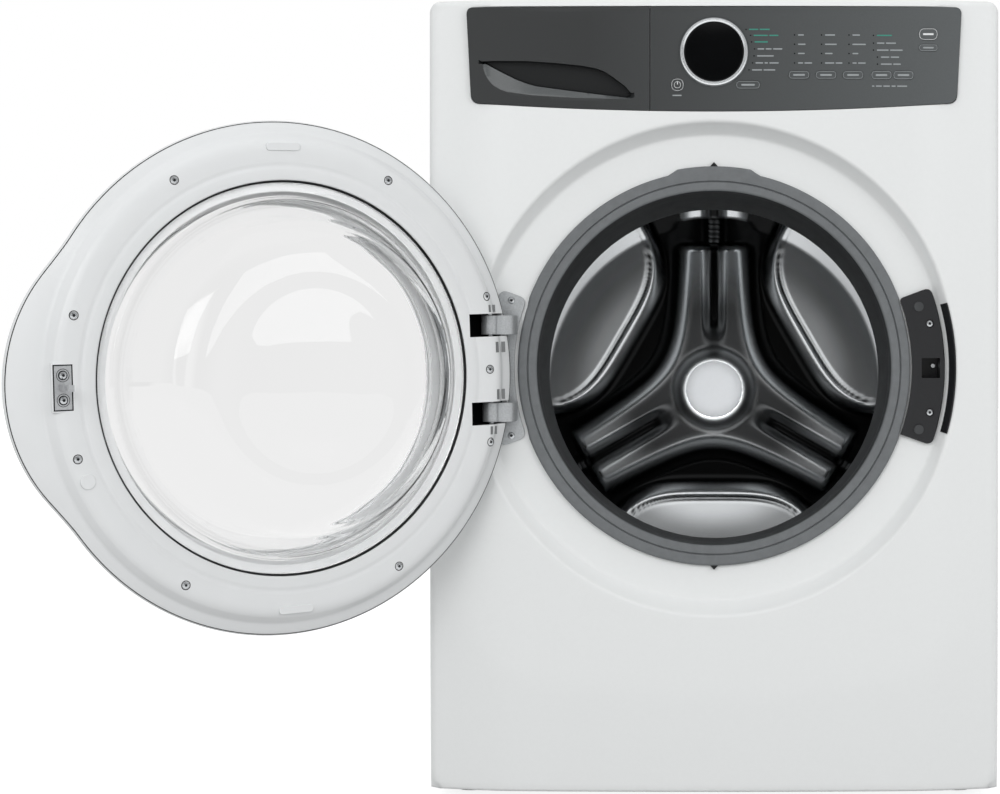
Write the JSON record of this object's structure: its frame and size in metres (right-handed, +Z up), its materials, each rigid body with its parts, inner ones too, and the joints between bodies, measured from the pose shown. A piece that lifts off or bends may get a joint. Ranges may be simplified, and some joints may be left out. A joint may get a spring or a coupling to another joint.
{
  "type": "front load washing machine",
  "caption": "Free-standing front load washing machine with a round swinging door, spring-hung spinning drum, sliding detergent drawer, push buttons and levelling feet.",
  "frame": {"origin": "on the floor, in the middle of the four levelling feet", "axes": "+X to the right seen from the front, +Y towards the back, +Z up"},
  "size_m": [1.1026, 1.1338, 0.965],
  "materials": {
    "white_enamel": "gloss",
    "galvanised_sheet": "satin",
    "white_plastic": "gloss",
    "tray_plastic": "satin",
    "fascia_grey": "satin",
    "bezel_chrome": "polished",
    "lens_black": "polished",
    "board_green": "satin",
    "black_plastic": "satin",
    "gasket_rubber": "matte",
    "black_rubber": "matte",
    "stainless": "polished",
    "bright_steel": "polished",
    "plain_steel": "satin",
    "lifter_plastic": "satin",
    "cast_aluminium": "matte",
    "tub_plastic": "matte",
    "weight_concrete": "matte",
    "bowl_glass": "polished",
    "clear_window": "polished"
  },
  "bodies": {
    "cabinet": {"base_tray": "galvanised_sheet", "side_panel_left": "white_enamel", "side_panel_right": "white_enamel", "rear_panel": "galvanised_sheet", "rear_access_cover": "galvanised_sheet", "top_panel": "white_enamel", "front_panel": "white_enamel", "levelling_feet": "black_rubber", "cabinet_screws": "bright_steel", "gasket": "gasket_rubber", "lock_housing": "black_plastic", "finger_pocket": "black_plastic", "hinge_plate": "bright_steel", "console_panel": "fascia_grey", "display_bezel": "bezel_chrome", "display_lens": "lens_black", "control_board": "board_green", "dispenser_housing": "tray_plastic", "inlet_valve": "black_plastic", "fill_hoses": "black_rubber", "tub_hoses": "black_rubber", "drain_pump": "black_plastic", "drain_hose": "black_rubber", "cord_gland": "black_plastic", "damper_cylinders": "black_plastic", "suspension_springs": "plain_steel"},
    "tub": {"tub_front": "tub_plastic", "tub_rear": "tub_plastic", "counterweight_front": "weight_concrete", "counterweight_top": "weight_concrete", "bearings": "plain_steel", "drive_motor": "cast_aluminium", "drive_belt": "black_rubber", "damper_rods": "plain_steel"},
    "drum": {"drum_shell": "stainless", "drum_back": "stainless", "drum_lifters": "lifter_plastic", "drum_spider": "cast_aluminium", "drum_pulley": "cast_aluminium", "drum_hub_cap": "bright_steel"},
    "motor_rotor": {"motor_pulley": "plain_steel"},
    "door": {"door_outer_frame": "white_plastic", "door_inner_frame": "white_plastic", "door_glass": "bowl_glass", "door_glass_seal": "black_rubber", "door_outer_window": "clear_window", "hinge_pins": "bright_steel", "door_strike": "bright_steel", "door_screws": "bright_steel"},
    "drawer": {"drawer_front": "fascia_grey", "drawer_tray": "tray_plastic"},
    "power_button": {"button_power": "fascia_grey"},
    "cycles_button": {"button_cycles": "fascia_grey"},
    "temp_button": {"button_temp": "fascia_grey"},
    "soil_button": {"button_soil": "fascia_grey"},
    "spin_button": {"button_spin": "fascia_grey"},
    "options_button": {"button_options": "fascia_grey"},
    "select_button": {"button_select": "fascia_grey"},
    "start_button": {"button_start": "fascia_grey"},
    "cancel_button": {"button_cancel": "fascia_grey"}
  },
  "joints": [
    {"name": "door_swing", "type": "hinge", "parent": "cabinet", "child": "door", "pos_m": [-0.26665, -0.40865, 0.5235], "axis": [-0.0147, 0, 0.9999], "range_deg": [0, 147.5]},
    {"name": "tub_bounce", "type": "slide", "parent": "cabinet", "child": "tub", "axis": [0, 0, 1], "range_m": [-0.008, 0.008], "stiffness_N_per_m": 8000, "springref_m": 0.05555, "deforming": ["suspension_springs", "gasket", "tub_hoses"]},
    {"name": "drum_spin", "type": "hinge", "parent": "tub", "child": "drum", "pos_m": [0, -0.374, 0.5235], "axis": [0, 0.9968, -0.0802], "continuous": true},
    {"name": "motor_spin", "type": "hinge", "parent": "tub", "child": "motor_rotor", "pos_m": [-0.09499, 0.26438, 0.11649], "axis": [0, 0.9968, -0.0802], "continuous": true},
    {"name": "drawer_slide", "type": "slide", "parent": "cabinet", "child": "drawer", "axis": [0, -1, 0], "range_m": [0, 0.22]},
    {"name": "power_press", "type": "slide", "parent": "cabinet", "child": "power_button", "axis": [0, 1, 0], "range_m": [0, 0.001], "stiffness_N_per_m": 600},
    {"name": "cycles_press", "type": "slide", "parent": "cabinet", "child": "cycles_button", "axis": [0, 1, 0], "range_m": [0, 0.001], "stiffness_N_per_m": 600},
    {"name": "temp_press", "type": "slide", "parent": "cabinet", "child": "temp_button", "axis": [0, 1, 0], "range_m": [0, 0.001], "stiffness_N_per_m": 600},
    {"name": "soil_press", "type": "slide", "parent": "cabinet", "child": "soil_button", "axis": [0, 1, 0], "range_m": [0, 0.001], "stiffness_N_per_m": 600},
    {"name": "spin_press", "type": "slide", "parent": "cabinet", "child": "spin_button", "axis": [0, 1, 0], "range_m": [0, 0.001], "stiffness_N_per_m": 600},
    {"name": "options_press", "type": "slide", "parent": "cabinet", "child": "options_button", "axis": [0, 1, 0], "range_m": [0, 0.001], "stiffness_N_per_m": 600},
    {"name": "select_press", "type": "slide", "parent": "cabinet", "child": "select_button", "axis": [0, 1, 0], "range_m": [0, 0.001], "stiffness_N_per_m": 600},
    {"name": "start_press", "type": "slide", "parent": "cabinet", "child": "start_button", "axis": [0, 1, 0], "range_m": [0, 0.001], "stiffness_N_per_m": 600},
    {"name": "cancel_press", "type": "slide", "parent": "cabinet", "child": "cancel_button", "axis": [0, 1, 0], "range_m": [0, 0.001], "stiffness_N_per_m": 600}
  ],
  "couplings": [
    {"joint": "motor_spin", "follows": "drum_spin", "ratio": 13.333}
  ]
}
